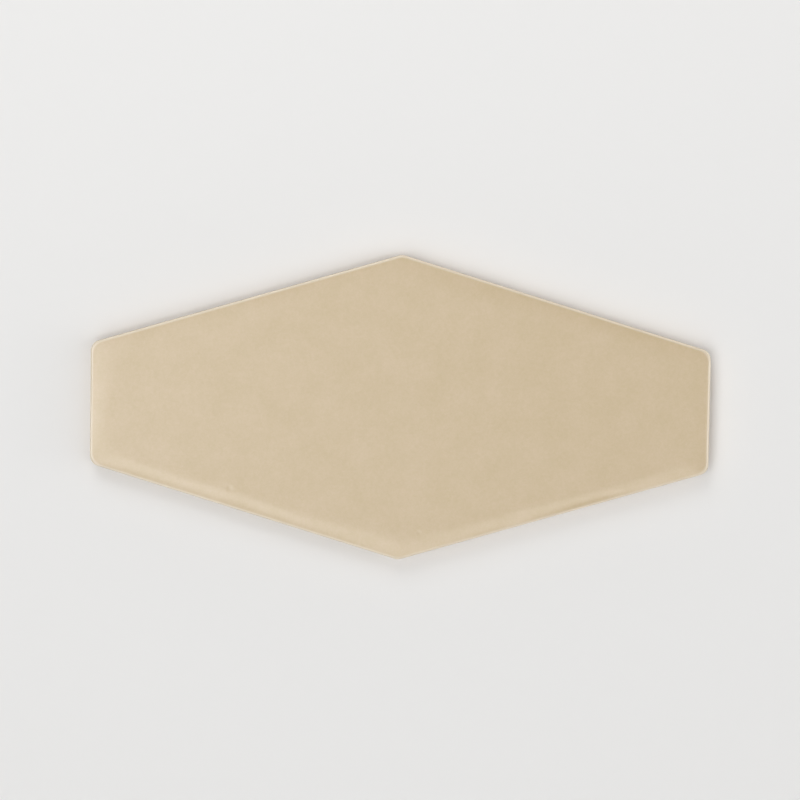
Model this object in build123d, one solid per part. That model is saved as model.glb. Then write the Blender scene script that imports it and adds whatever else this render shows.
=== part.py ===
from build123d import *
import math
import os

# One elongated hexagon wall tile, pressed and fired in one piece, lying on its back.
# Millimetres and degrees. X runs from end to end, Z out of the glazed face.
# The origin is the centre of the back.

# Plan of the tile
length = 203.0  # end to end, across the two upright ends
width = 100.4  # from apex to apex, before they are rounded
end_edge = 39.8  # one upright end, between its corners before they are rounded
corner_radius = 3.6

# Thickness, from the ribs of the back to the flat of the face
thickness = 8.0

# Face: flat in the middle, with a soft cushion edge that falls away to a rounded arris
cushion_width = 7.0
cushion_drop = 0.4
flat_corner_radius = 9.0
arris_radius = 0.6

# Sides: upright below the arris, then leaning in towards the bevelled back
side_land = 2.8
side_draft = 1.5
back_bevel = 0.8

# Back: a pressed waffle key of square pockets between ribs, inside a plain border
pocket_pitch = 12.0
rib_width = 3.0
pocket_depth = 0.7
pocket_draft = 20.0
plain_border = 5.0
least_pocket_area = 20.0

# Sections of the cushion, from the rim to the flat
cushion_sections = 5

rim_height = thickness - cushion_drop
land_height = rim_height - side_land
long_side_angle = math.atan((width - end_edge) / length)
back_inset = (land_height - back_bevel) * math.tan(math.radians(side_draft))


def outline(inset, radius, height):
    """The hexagon with its sides moved in by inset and its corners rounded, at a height."""
    half_length = length / 2 - inset
    apex = width / 2 - inset / math.cos(long_side_angle)
    shoulder = apex - half_length * math.tan(long_side_angle)
    corners = [
        (0, apex),
        (-half_length, shoulder),
        (-half_length, -shoulder),
        (0, -apex),
        (half_length, -shoulder),
        (half_length, shoulder),
    ]
    hexagon = Polygon(*corners, align=None)
    return Pos(0, 0, height) * fillet(hexagon.vertices(), radius)


def cushion_outline(step):
    """One section of the cushion: step 0 is the rim, and the last step meets the flat."""
    share = step / (cushion_sections - 1)
    radius = corner_radius + share * (flat_corner_radius - corner_radius)
    height = thickness - cushion_drop * (1 - share) ** 2
    return outline(share * cushion_width, radius, height)


def pressed_body():
    """The whole tile with a plain flat back."""
    waist = outline(back_inset, corner_radius - back_inset, back_bevel)
    foot_inset = back_inset + back_bevel
    foot = loft([outline(foot_inset, corner_radius - foot_inset, 0), waist], ruled=True)
    leaning = loft([waist, outline(0, corner_radius, land_height)], ruled=True)
    upright = extrude(outline(0, corner_radius, land_height), side_land)
    cushion = loft([cushion_outline(step) for step in range(cushion_sections)])
    body = foot + leaning + upright + cushion

    # The highest level edges go round the flat, and the next ones down go round the rim.
    level_edges = body.edges().filter_by(Plane.XY).group_by(Axis.Z)
    rim = level_edges[-2]
    return fillet(rim, arris_radius)


def waffle_key():
    """The pockets of the back. Two ribs cross at the middle of the tile."""
    narrowing = pocket_depth * math.tan(math.radians(pocket_draft))
    mouth = pocket_pitch - rib_width
    floor = mouth - 2 * narrowing
    pocket = loft([Rectangle(mouth, mouth), Pos(0, 0, pocket_depth) * Rectangle(floor, floor)], ruled=True)
    field_inset = back_inset + back_bevel + plain_border
    field = loft(
        [outline(field_inset, corner_radius, 0), outline(field_inset + narrowing, corner_radius, pocket_depth)],
        ruled=True,
    )
    columns = math.ceil(length / 2 / pocket_pitch)
    rows = math.ceil(width / 2 / pocket_pitch)
    grid = Part() + [
        Pos((column + 0.5) * pocket_pitch, (row + 0.5) * pocket_pitch) * pocket
        for column in range(-columns, columns)
        for row in range(-rows, rows)
    ]
    clipped = (grid & field).solids()
    return [solid for solid in clipped if solid.volume > least_pocket_area * pocket_depth]


def hexagon_tile():
    tile = pressed_body() - waffle_key()
    tile.label = "hexagon_tile"
    return tile


os.makedirs("parts", exist_ok=True)
export_step(hexagon_tile(), "parts/hexagon_tile.step")
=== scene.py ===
import math

import bpy
import numpy as np
from mathutils import Matrix, Vector, noise
from mathutils.geometry import delaunay_2d_cdt


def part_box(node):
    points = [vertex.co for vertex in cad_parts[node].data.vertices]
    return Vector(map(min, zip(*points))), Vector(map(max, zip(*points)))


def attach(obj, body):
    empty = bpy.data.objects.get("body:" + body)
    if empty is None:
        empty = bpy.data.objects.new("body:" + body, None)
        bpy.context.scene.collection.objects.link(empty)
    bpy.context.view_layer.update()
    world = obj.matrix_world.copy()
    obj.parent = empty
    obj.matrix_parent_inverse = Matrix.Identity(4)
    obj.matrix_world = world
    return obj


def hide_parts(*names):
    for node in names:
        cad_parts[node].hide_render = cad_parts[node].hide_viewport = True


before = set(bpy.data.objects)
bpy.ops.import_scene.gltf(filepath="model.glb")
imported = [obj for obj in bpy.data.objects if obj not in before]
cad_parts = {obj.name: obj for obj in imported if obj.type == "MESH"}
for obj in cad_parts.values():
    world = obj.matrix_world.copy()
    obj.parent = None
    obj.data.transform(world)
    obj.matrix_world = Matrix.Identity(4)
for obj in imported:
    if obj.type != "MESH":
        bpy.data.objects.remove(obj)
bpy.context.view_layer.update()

# One elongated hexagon wall tile, lying face up on a pale floor, seen from straight above but a
# little towards its upper edge. Sizes are in metres, from millimetres by MM.

MM = 0.001
_, node_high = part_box("hexagon_tile")

# Plan of the tile, from the frame's box and the same corners as the solid
half_length = node_high.x
thickness = node_high.z
end_edge = 39.8 * MM
corner_radius = 3.6 * MM

# Cushion edge and arris of the glazed face
cushion_width = 7.0 * MM
cushion_drop = 0.4 * MM
flat_corner_radius = 9.0 * MM
arris_radius = 0.6 * MM
cushion_reach = 11.5 * MM  # past the widest that the glaze's pooling makes the cushion
cushion_crowding = 1.25  # above 1, the cushion's steps crowd towards the rim

# Unevenness of the fired glaze. A wave is its share, its wavelength and its seed.
WIDTH_WAVES = [(0.14, 34 * MM, 1.3), (0.10, 11 * MM, 4.1)]  # of the cushion's width, along the rim
DROP_WAVES = [(0.10, 27 * MM, 7.7)]
FACE_WAVES = [(0.5, 21 * MM, 2.2), (0.3, 9 * MM, 9.4), (0.2, 5 * MM, 6.6)]
EDGE_WAVES = [(0.34, 26 * MM, 3.1), (0.16, 4.5 * MM, 8.6)]  # of its lower edge, in millimetres
NOISE_GAIN = 1.6  # brings the noise to about -1 to 1
blunt_swelling = 0.3  # how much wider the cushion is at the two blunt corners
blunt_spread = 22 * MM
undulation = 0.025 * MM  # of the face
calm_border = 4 * MM  # the undulation grows from nothing to full over this width

# The glaze runs thin over the arris, and a little past it on the cushion, so it is paler there;
# the pale tone is also a painted rim highlight, which reaches a little past the arris as a bright
# line. The rate says how early on the way up the arris it is at its thinnest.
thin_and_highlight_rate = 2.5
thin_and_highlight_share_past_arris = 0.6
thin_and_highlight_width_past_arris = 0.5 * MM

# Sides and back of the pressed body
land_height = 4.8 * MM
side_draft = math.radians(1.5)
back_bevel = 0.8 * MM
bare_recess = 0.12 * MM  # how far the unglazed body stands inside the glaze
glaze_recess = 0.03 * MM  # the glaze above its thick lower edge
soft_edge = 0.14 * MM  # rounds the edges of the bevel
bevel_clearance = 0.12 * MM  # from the bevel to the lowest ring of the side
glaze_line_rise = 0.25 * MM  # the glaze's lower edge over the top of the leaning side

# Where the noise passes the threshold, the glaze has run further down, by so many millimetres for
# each unit of noise
run_spacing, run_seed, run_threshold, run_length = 7 * MM, 5.5, 0.35, 0.9

# Grain of the bare side, with another seed for each ring
grain_depth, grain_size, grain_seed, grain_seed_step = 0.02 * MM, 2.6 * MM, 20, 1.3

# The glaze's rounded lower edge: rise in millimetres, and share of the bare body's recess
GLAZE_BEAD = [(0.03, 0.55), (0.09, 0.2), (0.18, 0.03), (0.3, 0.0), (0.5, 0.1), (0.75, 0.22)]

# Waffle key of the back
pocket_pitch = 12.0 * MM
rib_width = 3.0 * MM
pocket_depth = 0.7 * MM
pocket_draft = math.radians(20.0)
plain_border = 5.0 * MM
least_pocket_area = 20.0 * MM * MM
pocket_corner_radius = 0.9 * MM
least_corner_radius = 0.2 * MM
rib_rounding = 0.22 * MM
floor_fillet = 0.3 * MM

# Steps of the mesh. Both lists for the rim start at the lower right corner.
RIM_ARC_STEPS = [10, 10, 6, 10, 10, 6]
RIM_EDGE_STEPS = [60, 150, 150, 60, 150, 150]
ARRIS_STEPS, CUSHION_STEPS = 11, 26
BARE_STEPS, GLAZE_STEPS = 8, 4
POCKET_ARC_STEPS, ROUNDING_STEPS, FILLET_STEPS = 4, 3, 4
FLOOR_ARC_STEPS = 3
SETTLING_ROUNDS = 6  # of a value that each round brings closer
lattice_spacing = 2.0 * MM
lattice_clearance = 1.2 * MM  # from the lattice to the ring round the flat
lattice_end = 20 * MM  # next to an end, where the rounded corners matter too

# Materials by their places in the mesh, and their colours
GLAZE, BODY = 0, 1
DARK_GLAZE = (0.585, 0.466, 0.290)
PALE_GLAZE = (0.643, 0.514, 0.351)
# pale tone of the thin glaze on the arris, which is also a painted rim highlight
THIN_GLAZE_AND_HIGHLIGHT = (0.74, 0.64, 0.50)
DARK_CLAY = (0.560, 0.425, 0.290)
PALE_CLAY = (0.640, 0.500, 0.360)
SPECK = (0.36, 0.25, 0.16)
NOISE_LOW, NOISE_HIGH = 0.3, 0.7  # most of a shader's noise lies between these

# Two shallow dimples, where the glaze crawled back from a speck: centre, radius and depth
DIMPLES = [
    ((-55.4 * MM, -27.3 * MM), 1.6 * MM, 0.06 * MM),
    ((6.8 * MM, -40.9 * MM), 1.2 * MM, 0.05 * MM),
]

# Studio: the floor, the light panel and the surround. An angle is in degrees: a zenith angle from
# straight up, and a bearing anticlockwise from +X.
FLOOR_COLOUR = (0.85, 0.845, 0.835, 1)
floor_reach = 8.0
floor_height = -0.02 * MM  # just under the back
floor_opening_inset = 1.4 * MM  # inside the rim, under the tile
PANEL_ZENITH, PANEL_BEARING, PANEL_LEVEL = 45, 105, 2.45
panel_width, panel_distance = 0.5, 1.0
HORIZON_LEVEL, OVERHEAD_LEVEL, BELOW_LEVEL = 1.6, 0.1, 0.45
OVERHEAD_FROM, BELOW_FROM = 0.35, -0.1  # heights on the unit sphere

# Each glow is its zenith angle, its bearing, the core where it is even, its reach and its level.
# The last one lights the back from below.
GLOWS = [
    (3, 270, 8.5, 11.5, 0.45),
    (11.5, -25, 2, 7, 0.7),
    (24, 180, 0, 24, 2.9),
    (18, 205, 0, 28, 2.9),
    (13.5, 239, 1, 4.5, 1.7),
    (13.1, 259, 1, 4.5, 1.6),
    (14.4, 280, 1, 4.5, 2.1),
    (15, 300, 1, 4.5, 2.3),
    (19, 250, 2, 7, 0.25),
    (23, -10, 0, 11, 5.5),
    (36, 108, 3, 16, 2.0),
    (36, 252, 3, 16, 2.2),
    (46, -5, 0, 34, 1.4),
    (48, 242, 0, 34, 0.4),
    (76, -3, 5, 24, 1.9),
    (135, 120, 0, 60, 2.5),
]


def apex_half_width():
    """Half the width between the apexes before rounding, from the rounded width of the frame."""
    half_width = node_high.y
    for _ in range(SETTLING_ROUNDS):
        slope = math.atan((2 * half_width - end_edge) / (2 * half_length))
        half_width = node_high.y + corner_radius * (1 / math.cos(slope) - 1)
    return half_width


apex = apex_half_width()
shoulder = end_edge / 2
long_side_slope = (apex - shoulder) / half_length
HEXAGON = [
    (half_length, -shoulder),
    (half_length, shoulder),
    (0, apex),
    (-half_length, shoulder),
    (-half_length, -shoulder),
    (0, -apex),
]


def turned(vectors):
    """Each vector of the plan, a quarter turn anticlockwise."""
    return np.stack([-vectors[:, 1], vectors[:, 0]], axis=1)


class Outline:
    """A convex outline with rounded corners, drawn at any inset with the same count of points."""

    def __init__(self, corners, arc_steps, edge_steps):
        corners = np.array(corners, float)
        count = len(corners)
        runs = np.roll(corners, -1, axis=0) - corners
        inward = turned(runs / np.linalg.norm(runs, axis=1)[:, None])
        spreads = []
        for i in range(count):
            sides = np.array([inward[i - 1], inward[i]])
            spreads.append(np.linalg.solve(sides, [1.0, 1.0]))
        anchor, spread, outward = [], [], []
        for i in range(count):
            after = (i + 1) % count
            start = math.atan2(-inward[i - 1][1], -inward[i - 1][0])
            end = math.atan2(-inward[i][1], -inward[i][0])
            turn = (end - start) % (2 * math.pi)
            for step in range(arc_steps[i] + 1):
                angle = start + turn * step / arc_steps[i]
                anchor.append(corners[i])
                spread.append(spreads[i])
                outward.append((math.cos(angle), math.sin(angle)))
            for step in range(1, edge_steps[i]):
                share = step / edge_steps[i]
                anchor.append((1 - share) * corners[i] + share * corners[after])
                spread.append((1 - share) * spreads[i] + share * spreads[after])
                outward.append(-inward[i])
        self.anchor = np.array(anchor)
        self.spread = np.array(spread)
        self.outward = np.array(outward)

    def at(self, inset, radius):
        """The outline's points, moved in by inset, with corners of that radius."""
        inset = np.zeros(len(self.anchor)) + inset
        radius = np.zeros(len(self.anchor)) + radius
        centres = self.anchor + (inset + radius)[:, None] * self.spread
        return centres + radius[:, None] * self.outward


class Surface:
    """The points and faces of one closed mesh, gathered ring by ring."""

    def __init__(self):
        self.points = []
        self.thinness_and_highlight = []  # of the glaze, 0 to 1, at each point: thin glaze and a painted rim highlight
        self.faces = []
        self.finishes = []

    def ring(self, plan, height, thinness_and_highlight=0.0):
        """Adds one ring of points, or any group of them, and gives their numbers."""
        height = np.zeros(len(plan)) + height
        first = len(self.points)
        self.points.extend(np.column_stack([plan, height]).tolist())
        self.thinness_and_highlight.extend((np.zeros(len(plan)) + thinness_and_highlight).tolist())
        return list(range(first, len(self.points)))

    def face(self, corners, finish):
        self.faces.append(corners)
        self.finishes.append(finish)

    def band(self, below, above, finish):
        """Faces between two rings. They face outwards where above is over or inside below."""
        for k in range(len(below)):
            after = (k + 1) % len(below)
            self.face((below[k], below[after], above[after], above[k]), finish)

    def sheet(self, rings, extra, finish, facing_up=True):
        """Triangles that fill the first ring, through extra points and round any convex holes."""
        numbers = [n for ring in rings for n in ring] + extra
        ring_of = [k for k, ring in enumerate(rings) for _ in ring] + [0] * len(extra)
        plan = [Vector(self.points[n][:2]) / MM for n in numbers]
        edges = []
        first = 0
        for ring in rings:
            edges += [(first + k, first + (k + 1) % len(ring)) for k in range(len(ring))]
            first += len(ring)
        inside_only, tolerance = 1, 1e-6
        found = delaunay_2d_cdt(plan, edges, [], inside_only, tolerance)
        for triangle in found[2]:
            corners = [found[3][k][0] for k in triangle]
            touched = {ring_of[k] for k in corners}
            if len(touched) == 1 and touched != {0}:
                continue  # all three corners lie round one hole, so it lies in the hole
            corners = [numbers[k] for k in corners]
            self.face(corners if facing_up else corners[::-1], finish)


def rolling(plan, wavelength, seed):
    """Smooth noise of about -1 to 1 over the points of a plan."""
    places = [Vector((x / wavelength, y / wavelength, seed)) for x, y in plan]
    return np.array([noise.noise(place) for place in places]) * NOISE_GAIN


def waves(plan, parts):
    """The sum of some waves over the points of a plan."""
    return sum(share * rolling(plan, wavelength, seed) for share, wavelength, seed in parts)


def smooth_step(share):
    share = np.clip(share, 0, 1)
    return share * share * (3 - 2 * share)


rim = Outline(HEXAGON, RIM_ARC_STEPS, RIM_EDGE_STEPS)
rim_plan = rim.at(0, corner_radius)

# The glaze pooled unevenly, so the cushion's width and drop vary slowly along the rim. It is
# widest at the two blunt corners.
swelling = blunt_swelling * np.exp(-((rim_plan[:, 0] / blunt_spread) ** 2))
pooled_width = cushion_width * (1 + swelling + waves(rim_plan, WIDTH_WAVES))
pooled_width = np.minimum(pooled_width, cushion_reach)
pooled_drop = cushion_drop * (1 + waves(rim_plan, DROP_WAVES))


def face_relief(plan, inset):
    """How far the glaze lies under the true face: a slow undulation that is nothing at the rim."""
    swell = np.clip(1 + waves(plan, FACE_WAVES), 0, 2)
    return undulation * swell * smooth_step(inset / calm_border)


def corner_radius_at(inset):
    """The corners grow rounder from the rim to the flat."""
    return corner_radius + (flat_corner_radius - corner_radius) * inset / cushion_width


def add_glazed_face(tile):
    """Arris, cushion and flat. Gives the lowest ring, where the arris meets the upright side."""
    lean = np.zeros(len(rim_plan))
    for _ in range(SETTLING_ROUNDS):
        meeting = glaze_recess + arris_radius * (1 - np.sin(lean))
        lean = np.arctan(2 * pooled_drop / pooled_width * (1 - meeting / pooled_width))
    meeting_height = thickness - pooled_drop * (1 - meeting / pooled_width) ** 2
    centre_height = meeting_height - arris_radius * np.cos(lean)
    rings = []
    for step in range(ARRIS_STEPS + 1):
        angle = (math.pi / 2 - lean) * step / ARRIS_STEPS
        inset = glaze_recess + arris_radius * (1 - np.cos(angle))
        plan = rim.at(inset, corner_radius_at(inset))
        height = centre_height + arris_radius * np.sin(angle) - face_relief(plan, inset)
        # paler up the arris: thin glaze, and a painted rim highlight
        thinness_and_highlight = smooth_step(thin_and_highlight_rate * step / ARRIS_STEPS)
        rings.append(tile.ring(plan, height, thinness_and_highlight))
    for step in range(1, CUSHION_STEPS + 1):
        share = (step / CUSHION_STEPS) ** cushion_crowding
        inset = meeting + share * (cushion_reach - meeting)
        plan = rim.at(inset, corner_radius_at(inset))
        fall = pooled_drop * np.clip(1 - inset / pooled_width, 0, 1) ** 2
        height = thickness - fall - face_relief(plan, inset)
        # the painted rim highlight and the thin glaze fade out a little past the arris
        rim_fade = smooth_step((inset - meeting) / thin_and_highlight_width_past_arris)
        rings.append(tile.ring(plan, height, thin_and_highlight_share_past_arris * (1 - rim_fade)))
    for below, above in zip(rings, rings[1:]):
        tile.band(below, above, GLAZE)
    add_flat(tile, rings[-1])
    return rings[0], centre_height


def inside_hexagon(x, y, margin):
    """Whether a point of the plan lies more than margin inside the sharp hexagon."""
    from_long_side = (apex - abs(y) - long_side_slope * abs(x)) / math.hypot(1, long_side_slope)
    return from_long_side > margin and half_length - abs(x) > margin


def add_flat(tile, edge):
    """The flat of the face, through a lattice of points in equal triangles."""
    row_height = lattice_spacing * math.sqrt(3) / 2
    rows = math.ceil(apex / row_height)
    columns = math.ceil(half_length / lattice_spacing)
    plan = []
    for row in range(-rows, rows + 1):
        for column in range(-columns, columns + 1):
            x = (column + 0.5 * (row % 2)) * lattice_spacing
            y = row * row_height
            if on_the_flat(x, y):
                plan.append((x, y))
    plan = np.array(plan)
    relief = face_relief(plan, np.full(len(plan), cushion_reach))
    points = tile.ring(plan, thickness - relief)
    tile.sheet([edge], points, GLAZE)


def on_the_flat(x, y):
    """Whether a point lies inside the last ring of the cushion, and clear of it."""
    if not inside_hexagon(x, y, cushion_reach + lattice_clearance):
        return False
    if abs(x) <= half_length - lattice_end:
        return True
    radius = corner_radius_at(cushion_reach)
    inset = cushion_reach + radius
    centre_x = half_length - inset
    centre_y = apex - inset * math.hypot(1, long_side_slope) - centre_x * long_side_slope
    over_x, over_y = abs(x) - centre_x, abs(y) - centre_y
    return over_x < 0 or over_y < 0 or math.hypot(over_x, over_y) < radius - lattice_clearance


def add_sides(tile, arris_ring, arris_height):
    """From the arris down the glaze to its thick lower edge, then the bare body to the back."""

    def side_ring(inset, height):
        inset = np.zeros(len(rim_plan)) + inset
        return tile.ring(rim_plan - inset[:, None] * rim.outward, height)

    def lean_at(height):
        return np.maximum(land_height - height, 0) * math.tan(side_draft)

    # The lower edge of the glaze wanders, with a few longer runs.
    runs = np.clip(rolling(rim_plan, run_spacing, run_seed) - run_threshold, 0, 1)
    wander = waves(rim_plan, EDGE_WAVES)
    line = land_height + glaze_line_rise + (wander - run_length * runs) * MM
    lower = []
    side_foot = back_bevel + bevel_clearance
    for step in range(BARE_STEPS + 1):
        height = side_foot + (line - side_foot) * step / BARE_STEPS
        grain = grain_depth * rolling(rim_plan, grain_size, grain_seed + grain_seed_step * step)
        grain = np.maximum(grain, -bare_recess)
        lower.append(side_ring(bare_recess + lean_at(height) + grain, height))
    upper = []
    for rise, share in GLAZE_BEAD:
        height = line + rise * MM
        upper.append(side_ring(bare_recess * share + lean_at(height), height))
    bead_top = height
    for step in range(1, GLAZE_STEPS):
        height = bead_top + (arris_height - bead_top) * step / GLAZE_STEPS
        upper.append(side_ring(glaze_recess, height))
    for below, above in zip(lower, lower[1:]):
        tile.band(below, above, BODY)
    tile.band(lower[-1], upper[0], GLAZE)
    for below, above in zip(upper, upper[1:] + [arris_ring]):
        tile.band(below, above, GLAZE)
    return add_bevel(tile, side_ring, lean_at, lower[0])


def add_bevel(tile, side_ring, lean_at, side_foot):
    """The bevel round the back, with soft edges. Gives the ring where the back's plane starts."""
    waist = bare_recess + float(lean_at(back_bevel))
    foot = waist + back_bevel
    profile = [  # inset and height of each ring
        (foot + 1.6 * soft_edge, 0.0),
        (foot + 0.7 * soft_edge, 0.12 * soft_edge),
        (foot, 0.5 * soft_edge),
        (foot - 0.7 * soft_edge, 1.1 * soft_edge),
        (waist + 0.7 * soft_edge, back_bevel - 1.1 * soft_edge),
        (waist + 0.15 * soft_edge, back_bevel - 0.3 * soft_edge),
    ]
    rings = [side_ring(inset, height) for inset, height in profile]
    for below, above in zip(rings, rings[1:] + [side_foot]):
        tile.band(below, above, BODY)
    return rings[0]


def clipped(polygon, corner, inward):
    """The part of a convex polygon on the inner side of a line."""
    kept = []
    for k, here in enumerate(polygon):
        after = polygon[(k + 1) % len(polygon)]
        near, far = (here - corner).dot(inward), (after - corner).dot(inward)
        if near >= 0:
            kept.append(here)
        if near * far < 0:
            kept.append(here + (after - here) * near / (near - far))
    return kept


def area_of(polygon):
    """The area of a polygon whose corners run anticlockwise."""
    total = 0
    for k, here in enumerate(polygon):
        after = polygon[(k + 1) % len(polygon)]
        total += here.x * after.y - after.x * here.y
    return total / 2


def pocket_mouths():
    """The mouths of the waffle's pockets: squares, clipped where they meet the plain border."""
    back_inset = (land_height - back_bevel) * math.tan(side_draft)
    field_inset = back_inset + back_bevel + plain_border
    lines = []
    for k, corner in enumerate(HEXAGON):
        run = (Vector(HEXAGON[(k + 1) % len(HEXAGON)]) - Vector(corner)).normalized()
        inward = Vector((-run.y, run.x))
        lines.append((Vector(corner) + inward * field_inset, inward))
    half = (pocket_pitch - rib_width) / 2
    square = [(-half, -half), (half, -half), (half, half), (-half, half)]
    narrowing = pocket_depth * math.tan(pocket_draft)
    mouths = []
    columns = math.ceil(half_length / pocket_pitch)
    rows = math.ceil(apex / pocket_pitch)
    for column in range(-columns, columns):
        for row in range(-rows, rows):
            x, y = (column + 0.5) * pocket_pitch, (row + 0.5) * pocket_pitch
            mouth = [Vector((x + across, y + along)) for across, along in square]
            for corner, inward in lines:
                mouth = clipped(mouth, corner, inward)
            around = sum((mouth[k] - mouth[k - 1]).length for k in range(len(mouth)))
            if area_of(mouth) - around * narrowing / 2 > least_pocket_area:
                mouths.append(mouth)
    return mouths


def pocket_profile():
    """The insets and depths of a pocket's rings, from the rib to the floor."""
    turn = math.pi / 2 - pocket_draft
    rounding = []
    for step in range(ROUNDING_STEPS + 1):
        angle = turn * step / ROUNDING_STEPS
        inset = rib_rounding * (math.sin(angle) - 1)
        rounding.append((inset, rib_rounding * (1 - math.cos(angle))))
    fillet = []
    for step in range(FILLET_STEPS + 1):
        angle = turn * (1 - step / FILLET_STEPS)
        inset = floor_fillet * (1 - math.sin(angle))
        fillet.append((inset, pocket_depth - floor_fillet * (1 - math.cos(angle))))
    wall_top, wall_foot = rounding[-1], fillet[0]
    wall_run = (wall_foot[1] - wall_top[1]) * math.tan(pocket_draft)
    shift = wall_top[0] + wall_run - wall_foot[0]
    return rounding + [(inset + shift, depth) for inset, depth in fillet]


def add_pocket(tile, mouth):
    """One pocket with rounded ribs, leaning walls and a filleted floor. Gives its outer ring."""
    outline = Outline(mouth, [POCKET_ARC_STEPS] * len(mouth), [1] * len(mouth))
    rings = []
    for inset, depth in pocket_profile():
        radius = max(pocket_corner_radius - inset, least_corner_radius)
        rings.append(tile.ring(outline.at(inset, radius), depth))
    for outer, inner in zip(rings, rings[1:]):
        tile.band(inner, outer, BODY)
    middle = sum(mouth, Vector((0, 0))) / len(mouth)
    centre = tile.ring(np.array([middle]), pocket_depth)[0]
    last = rings[-1]
    for k in range(len(last)):
        tile.face((last[(k + 1) % len(last)], last[k], centre), BODY)
    return rings[0]


def add_back(tile, edge):
    """The plane of the ribs and the border, with every pocket let into it."""
    mouths = pocket_mouths()
    rings = [add_pocket(tile, mouth) for mouth in mouths]
    tile.sheet([edge] + rings, [], BODY, facing_up=False)
    return len(mouths)


def node_of(tree, kind, **values):
    node = tree.nodes.new(kind)
    for name, value in values.items():
        setattr(node, name, value)
    return node


def noise_node(tree, coordinates, scale, detail=2.0, roughness=0.5):
    """Noise with scale cells to a metre."""
    node = node_of(tree, "ShaderNodeTexNoise")
    node.inputs["Scale"].default_value = scale
    node.inputs["Detail"].default_value = detail
    node.inputs["Roughness"].default_value = roughness
    tree.links.new(coordinates, node.inputs["Vector"])
    return node.outputs["Fac"]


def mapped(tree, value, low, high, to_low, to_high, curve="LINEAR"):
    """A value, from the range low to high to another range, and held at its ends."""
    node = node_of(tree, "ShaderNodeMapRange", interpolation_type=curve)
    node.inputs["From Min"].default_value = low
    node.inputs["From Max"].default_value = high
    node.inputs["To Min"].default_value = to_low
    node.inputs["To Max"].default_value = to_high
    tree.links.new(value, node.inputs["Value"])
    return node.outputs["Result"]


def cloudy(tree, coordinates, low, high, scale, detail=2.0, roughness=0.5):
    """Noise that runs from low to high."""
    clouds = noise_node(tree, coordinates, scale, detail, roughness)
    return mapped(tree, clouds, NOISE_LOW, NOISE_HIGH, low, high)


def joined(tree, operation, first, second):
    """Two values, added or multiplied."""
    node = node_of(tree, "ShaderNodeMath", operation=operation)
    tree.links.new(first, node.inputs[0])
    tree.links.new(second, node.inputs[1])
    return node.outputs[0]


def mixed(tree, share, first, second):
    """A colour between two. Each is a colour or another node's output."""
    node = node_of(tree, "ShaderNodeMix", data_type="RGBA")
    for socket, value in ((node.inputs[6], first), (node.inputs[7], second)):
        if isinstance(value, tuple):
            socket.default_value = (*value, 1)
        else:
            tree.links.new(value, socket)
    tree.links.new(share, node.inputs[0])
    return node.outputs[2]


def either_shader(tree, share, first, second, output):
    """The first shader where share is 0 and the second where it is 1, led to the output."""
    node = node_of(tree, "ShaderNodeMixShader")
    tree.links.new(share, node.inputs["Fac"])
    tree.links.new(first.outputs[0], node.inputs[1])
    tree.links.new(second.outputs[0], node.inputs[2])
    tree.links.new(node.outputs[0], tree.nodes[output].inputs["Surface"])


def bumped(tree, height, strength, distance, normal=None):
    """A normal bent by a height, over another normal if one is given."""
    node = node_of(tree, "ShaderNodeBump")
    node.inputs["Strength"].default_value = strength
    node.inputs["Distance"].default_value = distance
    tree.links.new(height, node.inputs["Height"])
    if normal is not None:
        tree.links.new(normal, node.inputs["Normal"])
    return node.outputs["Normal"]


def new_material(name):
    """A material with its node tree, its shader and the place on the piece in metres."""
    material = bpy.data.materials.new(name)
    material.use_nodes = True
    tree = material.node_tree
    place = node_of(tree, "ShaderNodeTexCoord").outputs["Object"]
    return material, tree, tree.nodes["Principled BSDF"], place


def glaze_material():
    """Gloss beige glaze, faintly cloudy and mottled, and paler on the arris, where it runs thin
    and where a rim highlight is painted.
    """
    material, tree, shader, place = new_material("gloss_beige_glaze")
    clouds = cloudy(tree, place, 0, 0.45, scale=110)
    mottle = cloudy(tree, place, 0, 0.55, scale=700, roughness=0.9)
    tone = mixed(tree, joined(tree, "ADD", clouds, mottle), DARK_GLAZE, PALE_GLAZE)
    # paler on the arris and just past it: thin glaze and a painted rim highlight
    thinness_and_highlight = node_of(tree, "ShaderNodeAttribute", attribute_name="thinness_and_highlight").outputs["Fac"]
    tone = mixed(tree, thinness_and_highlight, tone, THIN_GLAZE_AND_HIGHLIGHT)
    tree.links.new(tone, shader.inputs["Base Color"])
    haze = cloudy(tree, place, 0.07, 0.12, scale=160)
    tree.links.new(haze, shader.inputs["Roughness"])
    shader.inputs["IOR"].default_value = 1.52
    ripple = noise_node(tree, place, scale=420)
    normal = bumped(tree, ripple, strength=0.15, distance=0.02 * MM)
    for centre, radius, depth in DIMPLES:
        away = node_of(tree, "ShaderNodeVectorMath", operation="DISTANCE")
        tree.links.new(place, away.inputs[0])
        away.inputs[1].default_value = (*centre, thickness)
        dimple = mapped(tree, away.outputs["Value"], 0, radius, -1, 0, "SMOOTHSTEP")
        normal = bumped(tree, dimple, strength=1, distance=depth, normal=normal)
    tree.links.new(normal, shader.inputs["Normal"])
    return material


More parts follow.
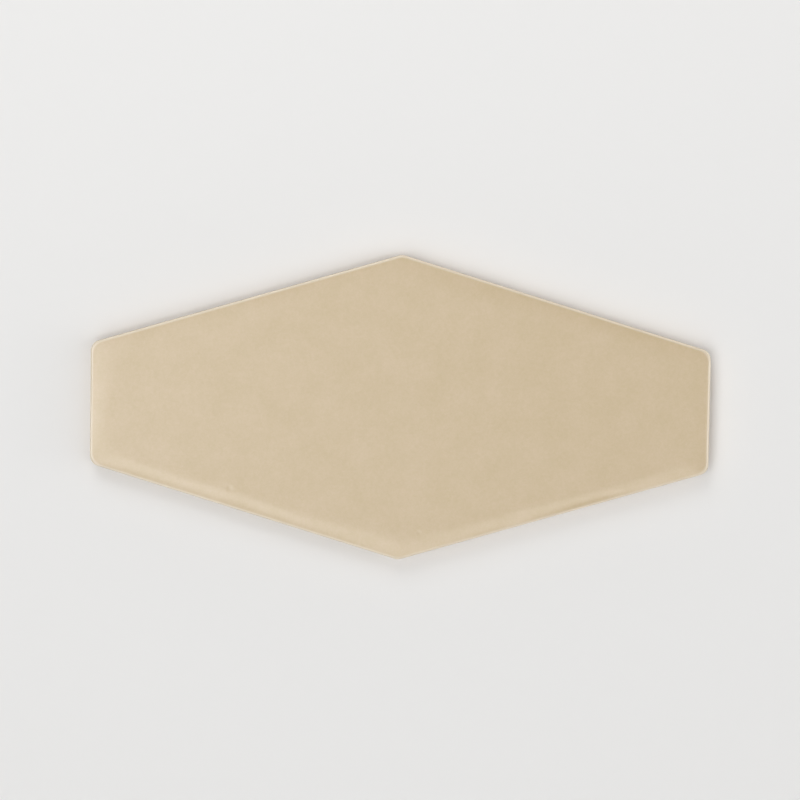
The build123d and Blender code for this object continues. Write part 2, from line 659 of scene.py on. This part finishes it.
def body_material():
    """Bare fired clay: matte, buff, with fine grain and a few darker specks."""
    material, tree, shader, place = new_material("bare_fired_clay")
    clouds = cloudy(tree, place, 0, 1, scale=90, detail=4.0, roughness=0.6)
    tone = mixed(tree, clouds, DARK_CLAY, PALE_CLAY)
    grains = node_of(tree, "ShaderNodeTexVoronoi")
    grains.inputs["Scale"].default_value = 900
    tree.links.new(place, grains.inputs["Vector"])
    specks = mapped(tree, grains.outputs["Distance"], 0.08, 0.2, 0.5, 0)
    sparse = mapped(tree, noise_node(tree, place, scale=500), 0.55, 0.7, 0, 1)
    tone = mixed(tree, joined(tree, "MULTIPLY", specks, sparse), tone, SPECK)
    tree.links.new(tone, shader.inputs["Base Color"])
    dust = cloudy(tree, place, 0.82, 0.95, scale=260, detail=3.0)
    tree.links.new(dust, shader.inputs["Roughness"])
    shader.inputs["Specular IOR Level"].default_value = 0.3
    fine = noise_node(tree, place, scale=3200, detail=4.0, roughness=0.7)
    coarse = noise_node(tree, place, scale=700, detail=3.0, roughness=0.6)
    normal = bumped(tree, fine, strength=0.5, distance=0.06 * MM)
    normal = bumped(tree, coarse, strength=0.4, distance=0.12 * MM, normal=normal)
    tree.links.new(normal, shader.inputs["Normal"])
    return material


def hexagon_tile():
    """The fired tile in one closed mesh, in the place of its node."""
    tile = Surface()
    arris_ring, arris_height = add_glazed_face(tile)
    back_edge = add_sides(tile, arris_ring, arris_height)
    pockets = add_back(tile, back_edge)
    mesh = bpy.data.meshes.new("fired_hexagon_tile")
    mesh.from_pydata(tile.points, [], tile.faces)
    mesh.materials.append(glaze_material())
    mesh.materials.append(body_material())
    mesh.polygons.foreach_set("material_index", tile.finishes)
    mesh.polygons.foreach_set("use_smooth", [True] * len(tile.faces))
    # where the glaze is thin and where a rim highlight is painted
    mesh.attributes.new("thinness_and_highlight", "FLOAT", "POINT").data.foreach_set("value", tile.thinness_and_highlight)
    mesh.validate()
    mesh.update()
    piece = bpy.data.objects.new("fired_hexagon_tile", mesh)
    bpy.context.scene.collection.objects.link(piece)
    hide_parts("hexagon_tile")
    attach(piece, "root")
    triangles = sum(len(face) - 2 for face in tile.faces)
    print("tile:", len(tile.points), "points,", triangles, "triangles,", pockets, "pockets")


def pale_floor():
    """A plain pale floor, open under the tile and clear from below, so that the back shows."""
    corner_count = len(HEXAGON)
    opening = Outline(HEXAGON, [FLOOR_ARC_STEPS] * corner_count, [1] * corner_count)
    hidden = opening.at(floor_opening_inset, corner_radius)
    edge = hidden / np.linalg.norm(hidden, axis=1)[:, None] * floor_reach
    count = len(hidden)
    corners = [(x, y, floor_height) for x, y in np.concatenate([hidden, edge])]
    faces = [((k + 1) % count, k, count + k, count + (k + 1) % count) for k in range(count)]
    mesh = bpy.data.meshes.new("pale_floor")
    mesh.from_pydata(corners, [], faces)
    floor = bpy.data.objects.new("pale_floor", mesh)
    bpy.context.scene.collection.objects.link(floor)
    material, tree, shader, _ = new_material("pale_floor")
    shader.inputs["Base Color"].default_value = FLOOR_COLOUR
    shader.inputs["Roughness"].default_value = 0.9
    shader.inputs["Specular IOR Level"].default_value = 0.1
    from_below = node_of(tree, "ShaderNodeNewGeometry").outputs["Backfacing"]
    clear = node_of(tree, "ShaderNodeBsdfTransparent")
    either_shader(tree, from_below, shader, clear, "Material Output")
    mesh.materials.append(material)


def direction(zenith, bearing):
    """The unit vector of a zenith angle and a bearing."""
    zenith, bearing = math.radians(zenith), math.radians(bearing)
    level = math.sin(zenith)
    return Vector((level * math.cos(bearing), level * math.sin(bearing), math.cos(zenith)))


def studio_world():
    """Soft light from the horizon and below, and from the glows. A level of 1 is white paper."""
    world = bpy.data.worlds.new("studio")
    bpy.context.scene.world = world
    world.use_nodes = True
    tree = world.node_tree
    towards = node_of(tree, "ShaderNodeTexCoord").outputs["Generated"]
    split = node_of(tree, "ShaderNodeSeparateXYZ")
    tree.links.new(towards, split.inputs[0])
    height = split.outputs["Z"]
    upper = mapped(tree, height, 0, OVERHEAD_FROM, HORIZON_LEVEL, OVERHEAD_LEVEL, "SMOOTHSTEP")
    lower = mapped(tree, height, BELOW_FROM, 0, BELOW_LEVEL - HORIZON_LEVEL, 0)
    level = joined(tree, "ADD", upper, lower)
    for zenith, bearing, core, reach, strength in GLOWS:
        along = node_of(tree, "ShaderNodeVectorMath", operation="DOT_PRODUCT")
        tree.links.new(towards, along.inputs[0])
        along.inputs[1].default_value = direction(zenith, bearing)
        angle = node_of(tree, "ShaderNodeMath", operation="ARCCOSINE")
        tree.links.new(along.outputs["Value"], angle.inputs[0])
        core, reach = math.radians(core), math.radians(reach)
        glow = mapped(tree, angle.outputs[0], core, reach, strength, 0, "SMOOTHSTEP")
        level = joined(tree, "ADD", level, glow)
    surround = tree.nodes["Background"]
    surround.inputs["Color"].default_value = (1, 1, 1, 1)
    tree.links.new(level, surround.inputs["Strength"])
    backdrop = node_of(tree, "ShaderNodeBackground")
    backdrop.inputs["Color"].default_value = FLOOR_COLOUR
    seen_by_camera = node_of(tree, "ShaderNodeLightPath").outputs["Is Camera Ray"]
    either_shader(tree, seen_by_camera, surround, backdrop, "World Output")


def upper_panel():
    """A soft light panel beyond the tile's upper edge, facing it."""
    lamp = bpy.data.lights.new("upper_panel", "AREA")
    lamp.size = panel_width
    lamp.energy = PANEL_LEVEL * panel_width * panel_width * math.pi
    holder = bpy.data.objects.new("upper_panel", lamp)
    bpy.context.scene.collection.objects.link(holder)
    towards = direction(PANEL_ZENITH, PANEL_BEARING)
    holder.location = towards * panel_distance
    holder.rotation_mode = "QUATERNION"
    holder.rotation_quaternion = towards.to_track_quat("Z", "Y")


def camera_like_the_photo():
    """Looks down from a little beyond the tile's upper edge, with that edge up in the image."""
    image_width = 800
    metres_per_pixel = 203.0 * MM / 620  # by the tile's length
    tile_centre_below_middle = 8  # pixels
    tilt_to_upper_edge = 4.7  # degrees off straight down
    roll_clockwise = 0.87  # degrees, of the tile in the image
    camera = bpy.data.cameras.new("camera")
    camera.lens = 150
    camera.sensor_width = 36
    holder = bpy.data.objects.new("camera", camera)
    bpy.context.scene.collection.objects.link(holder)
    bpy.context.scene.camera = holder
    distance = image_width * metres_per_pixel * camera.lens / camera.sensor_width
    towards = direction(tilt_to_upper_edge, 90)
    roll = math.radians(roll_clockwise)
    up = Vector((-math.sin(roll), math.cos(roll), 0))
    up = (up - towards * up.dot(towards)).normalized()
    right = up.cross(towards)
    aim = Vector((0, 0, thickness)) + up * tile_centre_below_middle * metres_per_pixel
    axes = Matrix((right, up, towards)).transposed()
    holder.matrix_world = Matrix.Translation(aim + towards * distance) @ axes.to_4x4()
    camera.clip_start, camera.clip_end = 0.05, 50


hexagon_tile()
pale_floor()
studio_world()
upper_panel()
camera_like_the_photo()
bpy.context.scene.view_settings.view_transform = "Standard"
